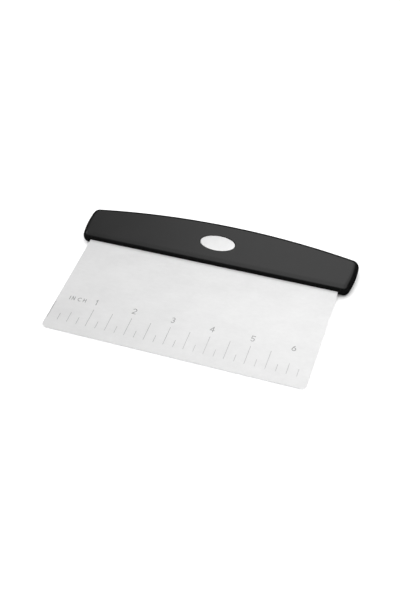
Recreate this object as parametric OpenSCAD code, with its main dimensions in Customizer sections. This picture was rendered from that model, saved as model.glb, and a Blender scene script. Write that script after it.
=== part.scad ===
// Bench scraper: a stainless sheet blade with an engraved inch scale, clamped
// between two rigid core halves by compression rivets, under a moulded grip.
// The tool lies flat: X runs along the scraping edge, Y from the edge to the
// grip, Z out of the face that carries the scale. The origin is under the middle
// of the whole outline, level with the back face of the grip. Millimetres.

/* [Blade] */
// Width of the sheet along the scraping edge
blade_w = 167.3; // [150:0.1:170]
// Exposed depth, from the scraping edge to the grip
blade_drop = 77.2; // [60:0.1:100]
// Thickness of the sheet
sheet_t = 1; // [0.8:0.1:1.2]
// Radius of the two free corners
blade_corner_r = 3.5; // [1:0.5:7]
// Bevel ground on both sides of the scraping edge
edge_bevel = 0.1; // [0.05:0.05:0.3]

/* [Inch scale] */
// Where the scale's zero lies along the edge, from the blade's middle
scale_zero_x = -82.4; // [-83:0.1:-82]
// Where the mark at zero lies: a little outside its place, along the sheet's side
zero_mark_x = -83; // [-83.2:0.1:-82.4]
// Height of the foot of every mark above the scraping edge
mark_foot = 7.7; // [5:0.1:10]
// Length of the marks at whole and half inches
long_mark = 13.7; // [10:0.1:15]
// Length of the marks that end the run of long ones
middle_mark = 7.8; // [6:0.1:9]
// Length of the marks at quarter inches
short_mark = 5.3; // [3:0.1:6]
// Height of the numerals
numeral_h = 4.3; // [4:0.1:6]
// Height of the foot of the numerals above the scraping edge
numeral_foot = 25; // [23:0.1:30]
// How far the numerals stand to the left of their marks
numeral_shift = 0.4; // [0:0.1:1]
// Height of the unit's letters
unit_h = 3; // [2.8:0.1:4]
// Distance from the scale's zero to the middle of the unit's letters
unit_middle = 12; // [11:0.1:13]
// Width of the engraved marks
line_w = 0.36; // [0.25:0.01:0.4]
// Width of the strokes of the numerals and letters
stroke_w = 0.5; // [0.3:0.01:0.6]
// Depth of every engraved line
line_depth = 0.12; // [0.05:0.01:0.2]

/* [Grip] */
// Length of the edge next to the blade, between its corners before rounding
grip_low_l = 178.9; // [176:0.1:186]
// Length between the far corners before rounding
grip_high_l = 182.2; // [180:0.1:188]
// Height of the grip at its ends, along Y
grip_end_h = 26.5; // [24:0.1:30]
// Height of the grip at its middle, along Y
grip_mid_h = 35.3; // [33:0.1:40]
// How far each end bows outwards
grip_end_bow = 1.4; // [0.6:0.1:2]
// Thickness of the grip
grip_t = 9; // [8.8:0.1:11]
// Radius of the two corners next to the blade, in plan
grip_low_r = 4.2; // [4:0.1:6]
// Radius of the two far corners, in plan
grip_high_r = 5; // [4:0.1:6]
// How far the rounded edge reaches in from the outline
grip_round = 3.9; // [3:0.1:3.9]

/* [Core and tang] */
// Thickness of the grip's skin over both faces of the core
skin_t = 1.8; // [1.6:0.1:2]
// Distance from the grip's outline to the core's outline
core_inset = 3; // [2.6:0.1:3.4]
// Width of the tang
tang_w = 150; // [140:1:156]
// How far the tang reaches into the grip
tang_reach = 22; // [20:0.5:22.5]
// How far the sheet keeps its full width inside the grip
shoulder_reach = 4.5; // [4:0.5:6]

/* [Rivets] */
// Places of the rivets to each side of the middle
rivet_xs = [27, 62]; // [20:1:68]
// Height of the rivets above the grip's lower edge
rivet_y = 14; // [12:0.5:16]
// Diameter of the rivet heads
rivet_head_d = 8; // [6:0.5:9]
// Thickness of the rivet heads
rivet_head_t = 0.8; // [0.6:0.1:1]
// Outer diameter of the rivet sleeve
sleeve_d = 5; // [4.5:0.5:5.5]
// Diameter of the rivet pin
pin_d = 3; // [2.5:0.1:3.2]

/* [Badge] */
// Length of the oval badge
badge_l = 23.4; // [18:0.1:26]
// Height of the oval badge
badge_h = 12.9; // [10:0.1:14]
// Height of the badge's middle above the grip's lower edge
badge_y = 16.3; // [14:0.1:18]
// Thickness of the badge
badge_t = 0.8; // [0.6:0.1:1]
// Chamfer round the badge's face
badge_chamfer = 0.25; // [0.1:0.05:0.4]
// Thickness of the adhesive under the badge
adhesive_t = 0.15; // [0.1:0.05:0.2]
// How far the badge's face lies below the grip's face
badge_recess = 0.1; // [0.05:0.05:0.5]
// Gap all round the badge
badge_gap = 0.2; // [0.1:0.05:0.3]

/* [Hidden] */
$fn = 64;
inch = 25.4;
mark_step = inch / 4;
mark_count = 25;
fit_gap = 0.05;         // radial clearance of each rivet in its hole
cut = 1;                // how far a cutter runs past the face it opens
edge_y = -(blade_drop + grip_mid_h) / 2;
grip_y = edge_y + blade_drop;
middle_z = grip_t / 2;
front_z = middle_z + sheet_t / 2;
back_z = middle_z - sheet_t / 2;
core_top_z = grip_t - skin_t;
badge_top_z = grip_t - badge_recess;
badge_low_z = badge_top_z - badge_t;
boss_top_z = badge_low_z - adhesive_t;

// The grip's outline in plan: four corner arcs between the arc of the far edge
// and the arcs of the two ends. Each arc is [centre, radius, first, last angle].
far_rise = grip_mid_h - grip_end_h;
far_r = (pow(grip_high_l / 2, 2) + pow(far_rise, 2)) / (2 * far_rise);
far_c = [0, grip_mid_h - far_r];
end_low = [grip_low_l / 2, 0];
end_high = [grip_high_l / 2, grip_end_h];
end_chord = norm(end_high - end_low);
end_r = (pow(end_chord / 2, 2) + pow(grip_end_bow, 2)) / (2 * grip_end_bow);
end_out = [end_high.y - end_low.y, end_low.x - end_high.x] / end_chord;
end_c = (end_low + end_high) / 2 - (end_r - grip_end_bow) * end_out;
low_c = [
    end_c.x + sqrt(pow(end_r - grip_low_r, 2) - pow(grip_low_r - end_c.y, 2)),
    grip_low_r
];
high_c = circles_meet(end_c, end_r - grip_high_r, far_c, far_r - grip_high_r);

// The meeting point, on the side of +X and +Y, of two circles
function circles_meet(a, ra, b, rb) =
    let (d = norm(b - a), u = (b - a) / d)
    let (along = (d * d + ra * ra - rb * rb) / (2 * d))
    let (aside = sqrt(ra * ra - along * along))
    a + along * u + aside * [-u.y, u.x] * (u.y < 0 ? 1 : -1);

function bearing(from, to) = atan2(to.y - from.y, to.x - from.x);
function across(arc) = [[-arc[0].x, arc[0].y], arc[1], 180 - arc[3], 180 - arc[2]];

right_arcs = [
    [low_c, grip_low_r, -90, bearing(end_c, low_c)],
    [end_c, end_r, bearing(end_c, low_c), bearing(end_c, high_c)],
    [high_c, grip_high_r, bearing(end_c, high_c), bearing(far_c, high_c)]
];
far_arc = [far_c, far_r, bearing(far_c, high_c), 180 - bearing(far_c, high_c)];
arc_steps = [8, 8, 8];
far_steps = 44;

// Points along one arc, moved inwards by inset
function arc_points(arc, steps, inset) =
    [for (i = [0:steps])
        let (a = arc[2] + (arc[3] - arc[2]) * i / steps)
        arc[0] + (arc[1] - inset) * [cos(a), sin(a)]];

// The grip's outline, anticlockwise from its lower right corner
function outline(inset) = concat(
    [for (k = [0:2]) each arc_points(right_arcs[k], arc_steps[k], inset)],
    arc_points(far_arc, far_steps, inset),
    [for (k = [2:-1:0]) each arc_points(across(right_arcs[k]), arc_steps[k], inset)]
);

function oval(l, h, steps = 72) =
    [for (i = [0:steps - 1])
        [l / 2 * cos(360 * i / steps), h / 2 * sin(360 * i / steps)]];

// The sheet in plan: exposed blade, full-width shoulder and narrower tang
module sheet_outline() {
    r = blade_corner_r;
    for (side = [-1, 1])
        translate([side * (blade_w / 2 - r), edge_y + r])
            circle(r = r);
    translate([-blade_w / 2 + r, edge_y])
        square([blade_w - 2 * r, r]);
    translate([-blade_w / 2, edge_y + r])
        square([blade_w, blade_drop + shoulder_reach - r]);
    translate([-tang_w / 2, grip_y])
        square([tang_w, tang_reach]);
}

module at_rivets() {
    for (side = [-1, 1])
        for (x = rivet_xs)
            translate([side * x, grip_y + rivet_y, 0])
                children();
}

// A straight engraved line between two points
module stroke(from, to) {
    length = norm(to - from);
    translate(from)
        rotate(bearing(from, to))
            translate([-stroke_w / 2, -stroke_w / 2])
                square([length + stroke_w, stroke_w]);
}

// An engraved arc from one angle to another, as wide as the strokes
module bend(centre, r, first, last) {
    translate(centre)
        rotate(first)
            rotate_extrude(angle = last - first)
                translate([r - stroke_w / 2, 0])
                    square([stroke_w, line_depth + cut]);
}

// Flat strokes as cutters of the engraving depth
module cut_strokes() {
    linear_extrude(line_depth + cut)
        children();
}

// Numerals 1 to 6, standing on y = 0 and centred on x = 0
module numeral(n) {
    h = numeral_h - stroke_w;
    bowl = h * 0.29;
    half = bowl;
    translate([0, stroke_w / 2])
        if (n == 1) {
            cut_strokes() {
                stroke([0, 0], [0, h]);
                stroke([0, h], [-half * 0.7, h * 0.8]);
            }
        } else if (n == 2) {
            bend([0, h - bowl], bowl, -35, 165);
            cut_strokes() {
                stroke([bowl * cos(35), h - bowl - bowl * sin(35)], [-half, 0]);
                stroke([-half, 0], [half, 0]);
            }
        } else if (n == 3) {
            small = h * 0.24;
            large = (h - 2 * small) / 2;
            past = 15; // runs each bowl past the middle, so that the two cross
            bend([0, h - small], small, -90 - past, 160);
            bend([0, large], large, -160, 90 + past);
        } else if (n == 4) {
            cut_strokes() {
                stroke([half * 0.5, 0], [half * 0.5, h]);
                stroke([half * 0.5, h], [-half * 1.1, h * 0.3]);
                stroke([-half * 1.1, h * 0.3], [half * 1.1, h * 0.3]);
            }
        } else if (n == 5) {
            bend([0, bowl], bowl, -155, 130);
            cut_strokes() {
                stroke([half, h], [-half * 0.7, h]);
                stroke([-half * 0.7, h], [bowl * cos(130), bowl + bowl * sin(130)]);
            }
        } else {
            lean = stroke_w / 4; // sets the stem a little into the bowl, so that they cross
            bend([0, bowl], bowl, 0, 360);
            bend([h - 2 * bowl + lean, bowl], h - bowl, 118, 180);
        }
}

// The unit's capitals I, N, C and H, standing on y = 0 and centred on x = 0
module unit_letters() {
    h = unit_h - stroke_w;
    w = h * 0.62;
    step = unit_h * 1.18;
    r = h / 2;
    translate([0, stroke_w / 2]) {
        cut_strokes() {
            stroke([-1.45 * step, 0], [-1.45 * step, h]);
            stroke([-step, 0], [-step, h]);
            stroke([-step, h], [-step + w, 0]);
            stroke([-step + w, 0], [-step + w, h]);
            stroke([1.15 * step, 0], [1.15 * step, h]);
            stroke([1.15 * step + w, 0], [1.15 * step + w, h]);
            stroke([1.15 * step, h / 2], [1.15 * step + w, h / 2]);
        }
        bend([0.45 * step, r], r, 50, 310);
    }
}

function mark_length(i) =
    i % 2 == 1 ? short_mark : i == 2 || i == 24 ? middle_mark : long_mark;

function mark_x(i) = i == 0 ? zero_mark_x : scale_zero_x + i * mark_step;

// Cutters for the whole scale, from the blade's front face upwards
module inch_scale() {
    translate([0, edge_y, front_z - line_depth]) {
        for (i = [0:mark_count])
            translate([mark_x(i) - line_w / 2, mark_foot, 0])
                cube([line_w, mark_length(i), line_depth + cut]);
        for (n = [1:6])
            translate([scale_zero_x + n * inch - numeral_shift, numeral_foot, 0])
                numeral(n);
        translate([scale_zero_x + unit_middle, numeral_foot, 0])
            unit_letters();
    }
}

module edge_bevels() {
    for (side = [-1, 1])
        translate([0, edge_y, middle_z + side * sheet_t / 2])
            rotate([45, 0, 0])
                cube([blade_w + 2 * cut, edge_bevel * sqrt(2), edge_bevel * sqrt(2)], center = true);
}

module blade() {
    color("gainsboro")
        difference() {
            translate([0, 0, back_z])
                linear_extrude(sheet_t)
                    sheet_outline();
            edge_bevels();
            inch_scale();
            at_rivets()
                translate([0, 0, back_z - cut])
                    cylinder(d = sleeve_d + 2 * fit_gap, h = sheet_t + 2 * cut);
        }
}

// One half of the core, with its rebate for the tang and its rivet holes
module core_half(low_z, head_z) {
    difference() {
        translate([0, grip_y, low_z])
            linear_extrude(middle_z - skin_t)
                polygon(outline(core_inset));
        translate([0, 0, back_z])
            linear_extrude(sheet_t)
                sheet_outline();
        at_rivets()
            translate([0, 0, low_z - cut])
                cylinder(d = sleeve_d + 2 * fit_gap, h = grip_t);
        at_rivets()
            translate([0, 0, head_z])
                cylinder(d = rivet_head_d + 2 * fit_gap, h = rivet_head_t + cut);
    }
}

module core_front() {
    color("dimgray") {
        core_half(middle_z, core_top_z - rivet_head_t);
        translate([0, grip_y + badge_y, core_top_z])
            linear_extrude(boss_top_z - core_top_z)
                polygon(oval(badge_l + 2 * badge_gap, badge_h + 2 * badge_gap));
    }
}

module core_back() {
    color("dimgray")
        core_half(skin_t, skin_t - cut);
}

module rivet_pins() {
    color("silver")
        at_rivets() {
            translate([0, 0, core_top_z - rivet_head_t])
                cylinder(d = rivet_head_d, h = rivet_head_t);
            translate([0, 0, skin_t + rivet_head_t])
                cylinder(d = pin_d, h = core_top_z - rivet_head_t - skin_t - rivet_head_t);
        }
}

module rivet_sleeves() {
    color("silver")
        at_rivets()
            difference() {
                union() {
                    translate([0, 0, skin_t])
                        cylinder(d = rivet_head_d, h = rivet_head_t);
                    translate([0, 0, skin_t])
                        cylinder(d = sleeve_d, h = core_top_z - rivet_head_t - skin_t);
                }
                translate([0, 0, skin_t + rivet_head_t / 2])
                    cylinder(d = pin_d + 2 * fit_gap, h = grip_t);
            }
}

// The grip's outside: rings of the outline, drawn in as the edge rounds over
module grip_solid() {
    turns = [for (a = [-90:15:90]) a];
    rings = [for (a = turns) outline(grip_round * (1 - cos(a)))];
    n = len(rings[0]);
    points = [for (k = [0:len(turns) - 1]) each
        [for (p = rings[k]) [p.x, p.y, middle_z * (1 + sin(turns[k]))]]];
    sides = [for (k = [0:len(turns) - 2]) each [for (i = [0:n - 1]) each
        let (j = (i + 1) % n, low = k * n, high = (k + 1) * n)
        [[low + i, high + i, high + j], [low + i, high + j, low + j]]]];
    bottom = [for (i = [0:n - 1]) i];
    top = [for (i = [n - 1:-1:0]) (len(turns) - 1) * n + i];
    polyhedron(points, concat([bottom, top], sides), convexity = 4);
}

module grip() {
    color([0.1, 0.1, 0.1])
        difference() {
            translate([0, grip_y, 0])
                grip_solid();
            translate([0, grip_y, skin_t])
                linear_extrude(grip_t - 2 * skin_t)
                    polygon(outline(core_inset));
            translate([0, 0, back_z])
                linear_extrude(sheet_t)
                    sheet_outline();
            translate([0, grip_y + badge_y, core_top_z])
                linear_extrude(skin_t + cut)
                    polygon(oval(badge_l + 2 * badge_gap, badge_h + 2 * badge_gap));
        }
}

module badge() {
    color("whitesmoke")
        translate([0, grip_y + badge_y, badge_low_z]) {
            linear_extrude(badge_t - badge_chamfer)
                polygon(oval(badge_l, badge_h));
            hull() {
                linear_extrude(badge_t - badge_chamfer)
                    polygon(oval(badge_l, badge_h));
                linear_extrude(badge_t)
                    polygon(oval(badge_l - 2 * badge_chamfer, badge_h - 2 * badge_chamfer));
            }
        }
}

module badge_adhesive() {
    color("lightyellow")
        translate([0, grip_y + badge_y, boss_top_z])
            linear_extrude(adhesive_t)
                polygon(oval(badge_l - 2, badge_h - 2));
}

blade();
core_front();
core_back();
rivet_pins();
rivet_sleeves();
grip();
badge();
badge_adhesive();
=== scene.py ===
"""Bench scraper: the looks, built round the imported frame.

The frame holds eight CAD nodes. The blade, the grip and the badge, which are what
shows, are replaced by meshes of the same shape. The core, the rivets and the adhesive
are sealed inside and stay as they are, with materials of their own.
Lengths are in metres, and mm() gives them from millimetres.
"""

import math

import bmesh
import bpy
from mathutils import Matrix, Vector


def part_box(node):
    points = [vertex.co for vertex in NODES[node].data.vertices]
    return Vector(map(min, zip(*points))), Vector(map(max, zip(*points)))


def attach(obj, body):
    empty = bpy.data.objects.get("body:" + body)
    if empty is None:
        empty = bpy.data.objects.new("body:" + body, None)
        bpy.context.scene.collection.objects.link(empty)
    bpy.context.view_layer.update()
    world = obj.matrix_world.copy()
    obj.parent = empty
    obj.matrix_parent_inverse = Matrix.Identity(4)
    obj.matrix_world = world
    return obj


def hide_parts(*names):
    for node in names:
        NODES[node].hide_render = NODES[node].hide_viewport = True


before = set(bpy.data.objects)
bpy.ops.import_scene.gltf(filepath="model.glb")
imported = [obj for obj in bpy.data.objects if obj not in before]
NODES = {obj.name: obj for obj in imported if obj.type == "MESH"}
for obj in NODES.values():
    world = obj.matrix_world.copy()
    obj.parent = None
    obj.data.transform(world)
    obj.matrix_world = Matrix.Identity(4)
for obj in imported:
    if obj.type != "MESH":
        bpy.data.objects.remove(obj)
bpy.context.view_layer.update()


def mm(value):
    return value * 0.001


# ---------------------------------------------------------------- places

blade_low, blade_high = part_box("blade")
grip_low, grip_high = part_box("grip")
badge_low, badge_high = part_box("badge")
core_low, split_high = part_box("core_back")
core_top = 2 * split_high.z - core_low.z    # the core's two halves are equally thick
middle_z = (blade_low.z + blade_high.z) / 2
half_sheet = (blade_high.z - blade_low.z) / 2
half_grip = (grip_high.z - grip_low.z) / 2
half_blade = (blade_high.x - blade_low.x) / 2
edge_y = blade_low.y
grip_y = grip_low.y
badge_middle = (badge_low + badge_high) / 2

# ---------------------------------------------------------------- camera

LENS = 55.9
SENSOR = 36
CLIP = (0.01, 20)
AIM_X, AIM_Y = mm(3.62), mm(47.59)    # from the middle of the scraping edge
DISTANCE = mm(578.3)
AZIMUTH, ELEVATION, ROLL = 23.23, 48.79, -5.33


def add_camera():
    azimuth, elevation = math.radians(AZIMUTH), math.radians(ELEVATION)
    back = Vector((
        math.sin(azimuth) * math.cos(elevation),
        -math.cos(azimuth) * math.cos(elevation),
        math.sin(elevation),
    ))
    level = Vector((math.cos(azimuth), math.sin(azimuth), 0))
    turn = Matrix.Rotation(math.radians(-ROLL), 3, -back)
    right = turn @ level
    up = back.cross(right)
    data = bpy.data.cameras.new("camera")
    data.lens = LENS
    data.sensor_width = SENSOR
    data.clip_start, data.clip_end = CLIP
    camera = bpy.data.objects.new("camera", data)
    bpy.context.scene.collection.objects.link(camera)
    place = Vector((AIM_X, edge_y + AIM_Y, middle_z)) + back * DISTANCE
    axes = Matrix((right, up, back)).transposed().to_4x4()
    camera.matrix_world = Matrix.Translation(place) @ axes
    bpy.context.scene.camera = camera


# ---------------------------------------------------------------- node trees

class Graph:
    """A short way to build a node tree."""

    def __init__(self, tree):
        self.tree = tree

    def add(self, kind, **settings):
        node = self.tree.nodes.new(kind)
        for key, value in settings.items():
            setattr(node, key, value)
        return node

    def link(self, source, target):
        self.tree.links.new(source, target)

    def calc(self, operation, a, b=0):
        """a and b, each a number or another node's result, through a Math node."""
        node = self.add("ShaderNodeMath", operation=operation)
        for socket, value in zip(node.inputs, (a, b)):
            if isinstance(value, (int, float)):
                socket.default_value = value
            else:
                self.link(value, socket)
        return node.outputs[0]

    def spread(self, value, low, high, start=0.3, end=0.7, curve="LINEAR"):
        """value, from start to end, mapped to low to high."""
        node = self.add("ShaderNodeMapRange", interpolation_type=curve)
        node.inputs["From Min"].default_value = start
        node.inputs["From Max"].default_value = end
        node.inputs["To Min"].default_value = low
        node.inputs["To Max"].default_value = high
        self.link(value, node.inputs["Value"])
        return node.outputs["Result"]


class Surface(Graph):
    """A material round its Principled shader."""

    def __init__(self, name):
        self.material = bpy.data.materials.new(name)
        self.material.use_nodes = True
        super().__init__(self.material.node_tree)
        self.shader = self.tree.nodes["Principled BSDF"]
        self.place = self.add("ShaderNodeTexCoord").outputs["Object"]

    def set(self, **values):
        for key, value in values.items():
            self.shader.inputs[key.replace("_", " ")].default_value = value

    def axis(self, letter):
        """The place along the object's X, Y or Z."""
        split = self.add("ShaderNodeSeparateXYZ")
        self.link(self.place, split.inputs["Vector"])
        return split.outputs[letter]

    def noise(self, per_mm, detail=4.0, roughness=0.5, turn=0.0):
        """Noise whose grain runs per_mm times in each millimetre along X, Y and Z."""
        source = self.place
        if turn:
            first = self.add("ShaderNodeMapping")
            first.inputs["Rotation"].default_value = (0, 0, math.radians(turn))
            self.link(source, first.inputs["Vector"])
            source = first.outputs["Vector"]
        mapping = self.add("ShaderNodeMapping")
        mapping.inputs["Scale"].default_value = [value / mm(1) for value in per_mm]
        self.link(source, mapping.inputs["Vector"])
        noise = self.add("ShaderNodeTexNoise")
        noise.inputs["Scale"].default_value = 1.0
        noise.inputs["Detail"].default_value = detail
        noise.inputs["Roughness"].default_value = roughness
        self.link(mapping.outputs["Vector"], noise.inputs["Vector"])
        return noise.outputs["Fac"]

    def weigh(self, a, share, b):
        """a and b added up, where a counts for share and b for the rest."""
        return self.calc("ADD", self.calc("MULTIPLY", a, share), self.calc("MULTIPLY", b, 1 - share))

    def tint(self, value, dark, light):
        """A colour between dark and light."""
        node = self.add("ShaderNodeMix", data_type="RGBA")
        node.inputs["A"].default_value = (*dark, 1)
        node.inputs["B"].default_value = (*light, 1)
        self.link(value, node.inputs["Factor"])
        return node.outputs["Result"]

    def bump(self, height, distance_mm, strength=1.0):
        node = self.add("ShaderNodeBump")
        node.inputs["Strength"].default_value = strength
        node.inputs["Distance"].default_value = mm(distance_mm)
        self.link(height, node.inputs["Height"])
        return node.outputs["Normal"]

    def finish(self, colour, rough, normal):
        self.link(colour, self.shader.inputs["Base Color"])
        self.link(rough, self.shader.inputs["Roughness"])
        self.link(normal, self.shader.inputs["Normal"])
        return self.material


def grey(level):
    return (level, level, level)


# ---------------------------------------------------------------- materials

TANGENT_MAP = "along_edge"
HIGHLIGHT_BAND_Y = mm(45)                                  # the middle of a painted highlight band on the blade, which fades out between these
HIGHLIGHT_NEAR, HIGHLIGHT_FAR = mm(8), mm(36)             # which fades out between these
MARKS_TOP, NUMERALS_FOOT = mm(22), mm(24)         # from the scraping edge


def brushed_sheet():
    """Stainless sheet, brushed along the scraping edge, with faint use marks and a painted highlight
    band across it.
    """
    n = Surface("stainless_sheet")
    n.set(Metallic=1.0, Anisotropic=0.3, Anisotropic_Rotation=0.25)
    along = n.add("ShaderNodeTangent", direction_type="UV_MAP", uv_map=TANGENT_MAP)
    n.link(along.outputs["Tangent"], n.shader.inputs["Tangent"])
    hairs = n.noise((0.05, 9, 9), detail=2)
    streaks = n.noise((0.09, 1.2, 1.2), detail=3, roughness=0.55)
    clouds = n.noise((0.05, 0.08, 0.08), detail=3, roughness=0.6)
    mottle = n.noise((0.3, 0.45, 0.45), detail=3, roughness=0.7)
    scuffs = n.noise((0.05, 3.5, 3.5), detail=2, turn=24)
    tone = n.weigh(streaks, 0.2, n.weigh(mottle, 0.4, clouds))
    # Painted highlight: a brighter band painted along the sheet, brightest 45 mm from the scraping
    # edge and fading out towards the edge and the grip.
    from_highlight_band = n.calc("ABSOLUTE", n.calc("SUBTRACT", n.axis("Y"), edge_y + HIGHLIGHT_BAND_Y))
    painted_highlight = n.spread(from_highlight_band, 0.35, 0, start=HIGHLIGHT_NEAR, end=HIGHLIGHT_FAR)
    shade = n.calc("ADD", n.spread(tone, 0, 0.65, start=0.36, end=0.64), painted_highlight)
    # Wear from scuffs raises the roughness.
    lift = n.spread(scuffs, 0, 0.04, start=0.62, end=0.8)
    rough = n.calc("ADD", n.spread(streaks, 0.50, 0.56), lift)
    colour = n.tint(shade, grey(0.875), grey(0.97))
    return n.finish(colour, rough, n.bump(hairs, 0.003, strength=0.4))


def etched_steel():
    """The greyer floor of the engraving, whose tick marks are painted paler towards the +X end, a
    painted highlight where the light on the sheet is brighter.
    """
    n = Surface("etched_lines")
    n.set(Metallic=1.0)
    grains = n.noise((6, 6, 6), detail=3)
    depth = n.noise((0.06, 0.06, 0.06), detail=2)
    # Painted highlight: the tick marks get paler towards +X, where the light on the sheet is
    # brighter. The numerals above the marks are left out.
    along = n.spread(n.axis("X"), 0.2, 0.9, start=-half_blade, end=half_blade)
    marks = n.spread(n.axis("Y"), 1, 0, start=edge_y + MARKS_TOP, end=edge_y + NUMERALS_FOOT)
    lift = n.calc("MULTIPLY", along, marks)
    tone = n.calc("ADD", lift, n.spread(depth, 0, 0.25, start=0.35, end=0.65))
    colour = n.tint(tone, grey(0.43), grey(0.68))
    return n.finish(colour, n.spread(grains, 0.5, 0.62), n.bump(grains, 0.01))


def satin_elastomer():
    """Smooth black moulded elastomer with a very fine stipple and faint handling wear."""
    n = Surface("grip_elastomer")
    n.set(Specular_IOR_Level=0.40)
    stipple = n.noise((3.5, 3.5, 3.5), detail=2)
    clouds = n.noise((0.05, 0.05, 0.05), detail=3)
    rubs = n.noise((0.15, 0.9, 0.9), turn=12)
    colour = n.tint(n.spread(clouds, 0, 1), grey(0.0045), grey(0.0065))
    rough = n.calc("ADD", n.spread(clouds, 0.19, 0.23), n.spread(rubs, -0.015, 0.02))
    return n.finish(colour, rough, n.bump(stipple, 0.004, strength=0.2))


def badge_steel():
    """Light satin steel with a very fine grain."""
    n = Surface("badge_steel")
    n.set(Metallic=1.0)
    grain = n.noise((0.4, 9, 9), detail=3)
    clouds = n.noise((0.12, 0.12, 0.12), detail=2)
    colour = n.tint(n.spread(clouds, 0, 1), grey(0.90), grey(0.955))
    return n.finish(colour, n.spread(grain, 0.38, 0.46), n.bump(grain, 0.003, strength=0.4))


def filled_nylon():
    """Dark glass-filled nylon of the core."""
    n = Surface("core_nylon")
    fibres = n.noise((0.8, 4, 4))
    colour = n.tint(n.spread(fibres, 0, 1), grey(0.015), grey(0.03))
    return n.finish(colour, n.spread(fibres, 0.55, 0.7), n.bump(fibres, 0.02))


def rivet_steel():
    """Drawn stainless wire of the rivets."""
    n = Surface("rivet_steel")
    n.set(Metallic=1.0)
    lines = n.noise((3, 3, 0.3), detail=3)
    colour = n.tint(n.spread(lines, 0, 1), (0.58, 0.58, 0.57), (0.68, 0.68, 0.67))
    return n.finish(colour, n.spread(lines, 0.3, 0.45), n.bump(lines, 0.006))


def adhesive_film():
    """Pale double-sided film."""
    n = Surface("adhesive_film")
    grain = n.noise((2, 2, 2), detail=3)
    colour = n.tint(n.spread(grain, 0, 1), (0.72, 0.68, 0.55), (0.8, 0.77, 0.66))
    return n.finish(colour, n.spread(grain, 0.5, 0.7), n.bump(grain, 0.01))


# ---------------------------------------------------------------- mesh helpers

def piece_from(bm, name, materials, node):
    """Turns bm into a piece that rides on the root body in place of a CAD node."""
    bmesh.ops.recalc_face_normals(bm, faces=bm.faces)
    mesh = bpy.data.meshes.new(name)
    bm.to_mesh(mesh)
    bm.free()
    for material in materials:
        mesh.materials.append(material)
    piece = bpy.data.objects.new(name, mesh)
    bpy.context.scene.collection.objects.link(piece)
    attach(piece, "root")
    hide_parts(node)
    return piece


def shade_smooth(bm, crease):
    """Shades bm smooth, but for edges where faces meet at crease degrees or more."""
    for face in bm.faces:
        face.smooth = True
    for edge in bm.edges:
        edge.smooth = edge.calc_face_angle(0) < math.radians(crease)


def loft(bm, low, high, closed=True):
    """Quads between two loops of as many vertices."""
    count = len(low)
    last = count if closed else count - 1
    for i in range(last):
        j = (i + 1) % count
        bm.faces.new((low[i], low[j], high[j], high[i]))


def loop_edges(bm, loop):
    """The edges round a loop of vertices, made where there are none yet."""
    pairs = zip(loop, loop[1:] + loop[:1])
    return [bm.edges.get(pair) or bm.edges.new(pair) for pair in pairs]


def open_quad(bm, *corners):
    """Removes the face that holds all of the corners."""
    opened = [face for face in corners[0].link_faces if set(corners) <= set(face.verts)]
    bmesh.ops.delete(bm, geom=opened, context="FACES_ONLY")


def quarter_turns():
    """Angles from 0 to a quarter turn, for a small rounded edge."""
    return [math.radians(degrees) for degrees in range(0, 91, 15)]


OVAL_STEPS = 96


def oval_ring(bm, margin, grow, z):
    """A loop round the badge: its oval with margin on the half axes, then grown by grow."""
    half_l = (badge_high.x - badge_low.x) / 2 + margin
    half_h = (badge_high.y - badge_low.y) / 2 + margin
    ring = []
    for i in range(OVAL_STEPS):
        turn = 2 * math.pi * i / OVAL_STEPS
        outwards = Vector((math.cos(turn) / half_l, math.sin(turn) / half_h)).normalized()
        on = Vector((half_l * math.cos(turn), half_h * math.sin(turn))) + outwards * grow
        ring.append(bm.verts.new((on.x + badge_middle.x, on.y + badge_middle.y, z)))
    return ring


# ---------------------------------------------------------------- grip

LOW_L, HIGH_L = mm(178.9), mm(182.2)    # along the lower edge, and between upper corners
END_H = mm(26.5)
END_BOW = mm(1.4)                       # how far each end's side bulges
LOW_R, HIGH_R = mm(4.2), mm(5)          # corner radii
ROUND = mm(3.9)                         # how far the rounded edge reaches in
MID_H = grip_high.y - grip_low.y
SKIN_INSET = mm(0.05)                   # keeps the mesh inside the CAD box
SEAM_PROUD = mm(0.045)                  # a fine parting line round the middle
SEAM_TOP, SEAM_FOOT = 1.0, 2.4          # in degrees round the edge
EDGE_ANGLES = (11, 17, 24, 31, 38, 45, 52, 59, 66, 72, 77, 81, 84.5, 87.5, 90)
SLOT_GAP = mm(0.05)
CORE_INSET = mm(3)                      # the cavity's wall, from the outline
WINDOW_GAP = mm(0.2)                    # round the badge
RIM_R = mm(0.25)                        # the window's rounded rim
SUPPORT = mm(0.2)                       # a narrow flat band next to a rounded edge


def circles_meet(a, ra, b, rb):
    """Where two circles cross, on the side of +X and +Y."""
    apart = (b - a).length
    along = (b - a) / apart
    reach = (apart ** 2 + ra ** 2 - rb ** 2) / (2 * apart)
    aside = math.sqrt(ra ** 2 - reach ** 2)
    side = Vector((-along.y, along.x)) * (1 if along.y < 0 else -1)
    return a + along * reach + side * aside


def bearing(start, end):
    return math.atan2(end.y - start.y, end.x - start.x)


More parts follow.
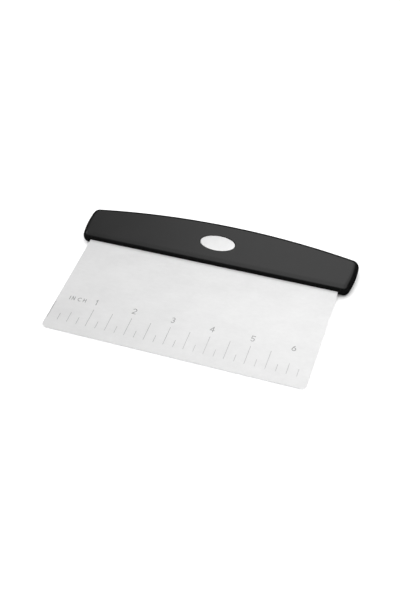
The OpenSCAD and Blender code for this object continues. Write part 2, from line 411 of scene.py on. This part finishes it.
def grip_arcs():
    """The arcs of the grip's outline, anticlockwise from its lower right corner."""
    rise = MID_H - END_H
    far_r = ((HIGH_L / 2) ** 2 + rise ** 2) / (2 * rise)
    far = Vector((0, MID_H - far_r))
    low, high = Vector((LOW_L / 2, 0)), Vector((HIGH_L / 2, END_H))
    chord = (high - low).length
    end_r = ((chord / 2) ** 2 + END_BOW ** 2) / (2 * END_BOW)
    outwards = Vector((high.y - low.y, low.x - high.x)) / chord
    end = (low + high) / 2 - outwards * (end_r - END_BOW)
    low_c = Vector((end.x + math.sqrt((end_r - LOW_R) ** 2 - (LOW_R - end.y) ** 2), LOW_R))
    high_c = circles_meet(end, end_r - HIGH_R, far, far_r - HIGH_R)
    to_low, to_high, to_far = bearing(end, low_c), bearing(end, high_c), bearing(far, high_c)
    right = [
        (low_c, LOW_R, -math.pi / 2, to_low, 14),
        (end, end_r, to_low, to_high, 16),
        (high_c, HIGH_R, to_high, to_far, 14),
    ]
    top = [(far, far_r, to_far, math.pi - to_far, 96)]
    left = [
        (Vector((-c.x, c.y)), r, math.pi - last, math.pi - first, steps)
        for c, r, first, last, steps in reversed(right)
    ]
    return right + top + left


def grip_outline(arcs, inset):
    """The outline moved inwards, with a point at each end of the blade's slot."""
    points = []
    for arc in arcs:
        centre, radius, first, last, steps = arc
        for i in range(steps + (arc is arcs[-1])):
            turn = first + (last - first) * i / steps
            points.append(centre + (radius - inset) * Vector((math.cos(turn), math.sin(turn))))
    reach = half_blade + SLOT_GAP
    return points + [Vector((-reach, inset)), Vector((reach, inset))]


def grip_ring(bm, arcs, inset, z):
    return [bm.verts.new((p.x, p.y + grip_y, z)) for p in grip_outline(arcs, inset)]


def grip_sections():
    """(angle, extra) of each ring from the back face round the edge, and the slot's angle."""
    slot = math.degrees(math.asin((half_sheet + SLOT_GAP) / half_grip))
    upper = [(SEAM_TOP, SEAM_PROUD), (SEAM_FOOT, 0), (slot, 0)]
    upper += [(angle, 0) for angle in EDGE_ANGLES]
    lower = [(-angle, proud) for angle, proud in reversed(upper)]
    return lower + upper, slot


def build_grip(material):
    """The hollow moulding: rounded outside, cavity for the core, blade slot and window."""
    bm = bmesh.new()
    arcs = grip_arcs()
    sections, slot = grip_sections()
    rings = []
    for angle, proud in sections:
        turn = math.radians(angle)
        inset = ROUND * (1 - math.cos(turn)) + SKIN_INSET - proud
        rings.append(grip_ring(bm, arcs, inset, middle_z + half_grip * math.sin(turn)))
    slot_rings = [ring for ring, (angle, _) in zip(rings, sections) if abs(angle) <= slot]
    for low, high in zip(rings, rings[1:]):
        loft(bm, low, high)
    for low, high in zip(slot_rings, slot_rings[1:]):
        open_quad(bm, low[-2], low[-1], high[-1])
    roof, mouth = line_cavity(bm, arcs, middle_z - slot_rings[0][0].co.z)
    line_slot(bm, slot_rings, mouth)
    inner = ROUND + SKIN_INSET + SUPPORT
    back = grip_ring(bm, arcs, inner, grip_low.z)
    loft(bm, rings[0], back)
    bm.faces.new(back)
    front = grip_ring(bm, arcs, inner, grip_high.z)
    loft(bm, rings[-1], front)
    open_window(bm, front, roof)
    shade_smooth(bm, crease=35)
    return piece_from(bm, "grip_moulding", [material], "grip")


def line_cavity(bm, arcs, half_slot):
    """The walls round the core; returns the roof's outline and the slot's inner mouth."""
    heights = (core_low.z, middle_z - half_slot, middle_z + half_slot, core_top)
    back, under, over, roof = [grip_ring(bm, arcs, CORE_INSET, z) for z in heights]
    for low, high in ((back, under), (under, over), (over, roof)):
        loft(bm, low, high)
    open_quad(bm, under[-2], under[-1], over[-1])
    bm.faces.new(back)
    return roof, (under[-2], under[-1], over[-1], over[-2])


def line_slot(bm, rings, mouth):
    """The slot's walls, from the open strip along the lower edge to the cavity."""
    left, right = [ring[-2] for ring in rings], [ring[-1] for ring in rings]
    bm.faces.new((left[0], right[0], mouth[1], mouth[0]))
    bm.faces.new((right[-1], left[-1], mouth[3], mouth[2]))
    bm.faces.new([*left, mouth[3], mouth[0]])
    bm.faces.new([*reversed(right), mouth[1], mouth[2]])


def open_window(bm, face, roof):
    """Fills the front face and the cavity's roof, and lines the oval hole through both."""
    loops = [oval_ring(bm, WINDOW_GAP, RIM_R + SUPPORT, grip_high.z)]
    for turn in quarter_turns():
        grow = RIM_R * (1 - math.sin(turn))
        down = RIM_R * (1 - math.cos(turn))
        loops.append(oval_ring(bm, WINDOW_GAP, grow, grip_high.z - down))
    loops.append(oval_ring(bm, WINDOW_GAP, 0, core_top))
    for low, high in zip(loops, loops[1:]):
        loft(bm, low, high)
    for outer, inner in ((face, loops[0]), (roof, loops[-1])):
        edges = loop_edges(bm, outer) + loop_edges(bm, inner)
        bmesh.ops.triangle_fill(bm, use_beauty=True, use_dissolve=False, edges=edges)


# ---------------------------------------------------------------- badge

BADGE_BREAK = mm(0.05)      # the back's broken edge
SHOULDER = mm(0.3)
CROWN = mm(0.08)
CROWN_SHARES = (0.93, 0.82, 0.66, 0.48, 0.3, 0.14)


def build_badge(material):
    """An oval plate with a rounded shoulder and a very slightly crowned face."""
    bm = bmesh.new()
    loops = [
        oval_ring(bm, 0, -BADGE_BREAK, badge_low.z),
        oval_ring(bm, 0, 0, badge_low.z + BADGE_BREAK),
    ]
    rim_z = badge_high.z - CROWN
    for turn in quarter_turns():
        inwards = SHOULDER * (1 - math.cos(turn))
        down = SHOULDER * (1 - math.sin(turn))
        loops.append(oval_ring(bm, 0, -inwards, rim_z - down))
    rim = loops[-1]
    for share in CROWN_SHARES:
        loops.append([
            bm.verts.new((
                badge_middle.x + (v.co.x - badge_middle.x) * share,
                badge_middle.y + (v.co.y - badge_middle.y) * share,
                badge_high.z - CROWN * share ** 2,
            ))
            for v in rim
        ])
    for low, high in zip(loops, loops[1:]):
        loft(bm, low, high)
    bm.faces.new(loops[0])
    bm.faces.new(loops[-1])
    shade_smooth(bm, crease=50)
    return piece_from(bm, "badge_plate", [material], "badge")


# ---------------------------------------------------------------- blade

WELD = 1e-7
FLOOR_DEPTH = mm(0.06)      # faces deeper than this in the front are engraved floors
MAP_SCALE, MAP_SHIFT = 10, 1


def build_blade(sheet, etched):
    """The engraved sheet, with its own finish on the floors of the engraved lines."""
    bm = bmesh.new()
    bm.from_mesh(NODES["blade"].data)
    bmesh.ops.remove_doubles(bm, verts=bm.verts, dist=WELD)
    bm.normal_update()
    for face in bm.faces:
        lowest = min(v.co.z for v in face.verts)
        face.material_index = int(middle_z < lowest < blade_high.z - FLOOR_DEPTH)
    layer = bm.loops.layers.uv.new(TANGENT_MAP)
    for face in bm.faces:
        for loop in face.loops:
            loop[layer].uv = [c * MAP_SCALE + MAP_SHIFT for c in loop.vert.co.xy]
    shade_smooth(bm, crease=25)
    return piece_from(bm, "blade_sheet", [sheet, etched], "blade")


# ---------------------------------------------------------------- stage

FLOOR_HALF = 4
FLOOR_DROP = mm(0.02)       # keeps the floor clear of the tool


def add_floor():
    """A pale floor under the tool, which lies on its scraping edge and the grip's back."""
    rest_y = grip_y + ROUND
    slope = math.atan2(blade_low.z - grip_low.z, rest_y - edge_y)
    bm = bmesh.new()
    bmesh.ops.create_grid(bm, x_segments=2, y_segments=2, size=FLOOR_HALF)
    mesh = bpy.data.meshes.new("floor")
    bm.to_mesh(mesh)
    bm.free()
    floor = bpy.data.objects.new("floor", mesh)
    bpy.context.scene.collection.objects.link(floor)
    tilt = Matrix.Rotation(-slope, 4, "X")
    floor.matrix_world = Matrix.Translation((0, rest_y, -FLOOR_DROP)) @ tilt
    n = Surface("floor")
    n.set(Roughness=0.9, Specular_IOR_Level=0.1, Base_Color=(*grey(0.93), 1))
    mesh.materials.append(n.material)
    floor.visible_glossy = False


# Each entry is an axis, a start, an end, a low and a high: the strength goes from low to
# high as the direction's share along the axis goes from start to end.
FRONT_LIMIT = ((0, 0.42, 0.91), 0.0, 0.15, 0, 1)
LOW_LIMIT = ((0, 0, 1), 0.40, 0.68, 0, 1)
LEFT_DIMMING = ((1, 0, 0), -0.44, -0.19, 0.33, 1.55)
FAR_LEFT_GLOW = ((1, 0, 0), -0.74, -0.48, 1.60, 0)
RIGHT_DIMMING = ((1, 0, 0), -0.12, 0.20, 0, -0.47)
ROOM = 0.02
WHITE = (*grey(1), 1)


class Sky(Graph):
    """The world, built from smooth steps of the direction that a ray leaves in."""

    def __init__(self):
        world = bpy.data.worlds.new("studio")
        bpy.context.scene.world = world
        world.use_nodes = True
        super().__init__(world.node_tree)
        self.background = self.tree.nodes["Background"]
        self.way = self.add("ShaderNodeTexCoord").outputs["Generated"]

    def step(self, axis, start, end, low, high):
        share = self.add("ShaderNodeVectorMath", operation="DOT_PRODUCT")
        self.link(self.way, share.inputs[0])
        share.inputs[1].default_value = Vector(axis).normalized()
        return self.spread(share.outputs["Value"], low, high, start, end, curve="SMOOTHSTEP")


def add_sky():
    """A broad softbox overhead in a dim room, which the camera sees as plain white."""
    sky = Sky()
    limits = sky.calc("MULTIPLY", sky.step(*FRONT_LIMIT), sky.step(*LOW_LIMIT))
    left = sky.calc("ADD", sky.step(*LEFT_DIMMING), sky.step(*FAR_LEFT_GLOW))
    across = sky.calc("ADD", left, sky.step(*RIGHT_DIMMING))
    lit = sky.calc("ADD", sky.calc("MULTIPLY", limits, across), ROOM)
    seen = sky.add("ShaderNodeLightPath").outputs["Is Camera Ray"]
    room = sky.calc("MULTIPLY", sky.calc("SUBTRACT", 1, seen), lit)
    sky.background.inputs["Color"].default_value = WHITE
    sky.link(sky.calc("ADD", seen, room), sky.background.inputs["Strength"])


OVERHEAD_SIZE, OVERHEAD_ENERGY, OVERHEAD_Z = 6, 130, 3
CARD_SIZE, CARD_ENERGY, CARD_Z = 3, 36, -mm(6)


def add_panel(name, size, energy, z, tilt=0):
    """A square light panel that faces down, or up where it is tilted right over."""
    data = bpy.data.lights.new(name, "AREA")
    data.size = size
    data.energy = energy
    lamp = bpy.data.objects.new(name, data)
    lamp.location = (0, 0, z)
    lamp.rotation_euler.x = tilt
    bpy.context.scene.collection.objects.link(lamp)
    return lamp


def add_lamps(steel_pieces):
    """An overhead panel that lights the floor, and a card that fills the sheet's edges."""
    overhead = add_panel("overhead_panel", OVERHEAD_SIZE, OVERHEAD_ENERGY, OVERHEAD_Z)
    overhead.visible_glossy = False
    card = add_panel("floor_card", CARD_SIZE, CARD_ENERGY, CARD_Z, tilt=math.pi)
    card.visible_camera = False
    card.visible_diffuse = False
    receivers = bpy.data.collections.new("steel_pieces")
    for piece in steel_pieces:
        receivers.objects.link(piece)
    card.light_linking.receiver_collection = receivers


# ---------------------------------------------------------------- scene

add_camera()
add_sky()
add_floor()
build_grip(satin_elastomer())
badge = build_badge(badge_steel())
blade = build_blade(brushed_sheet(), etched_steel())
blade.visible_glossy = False    # its reflection would put a pale band under the grip
add_lamps([blade, badge])

nylon, rivets = filled_nylon(), rivet_steel()
hidden = {
    "core_front": nylon,
    "core_back": nylon,
    "rivet_pins": rivets,
    "rivet_sleeves": rivets,
    "badge_adhesive": adhesive_film(),
}
for node, material in hidden.items():
    NODES[node].data.materials.clear()
    NODES[node].data.materials.append(material)
bpy.context.scene.view_settings.view_transform = "Standard"
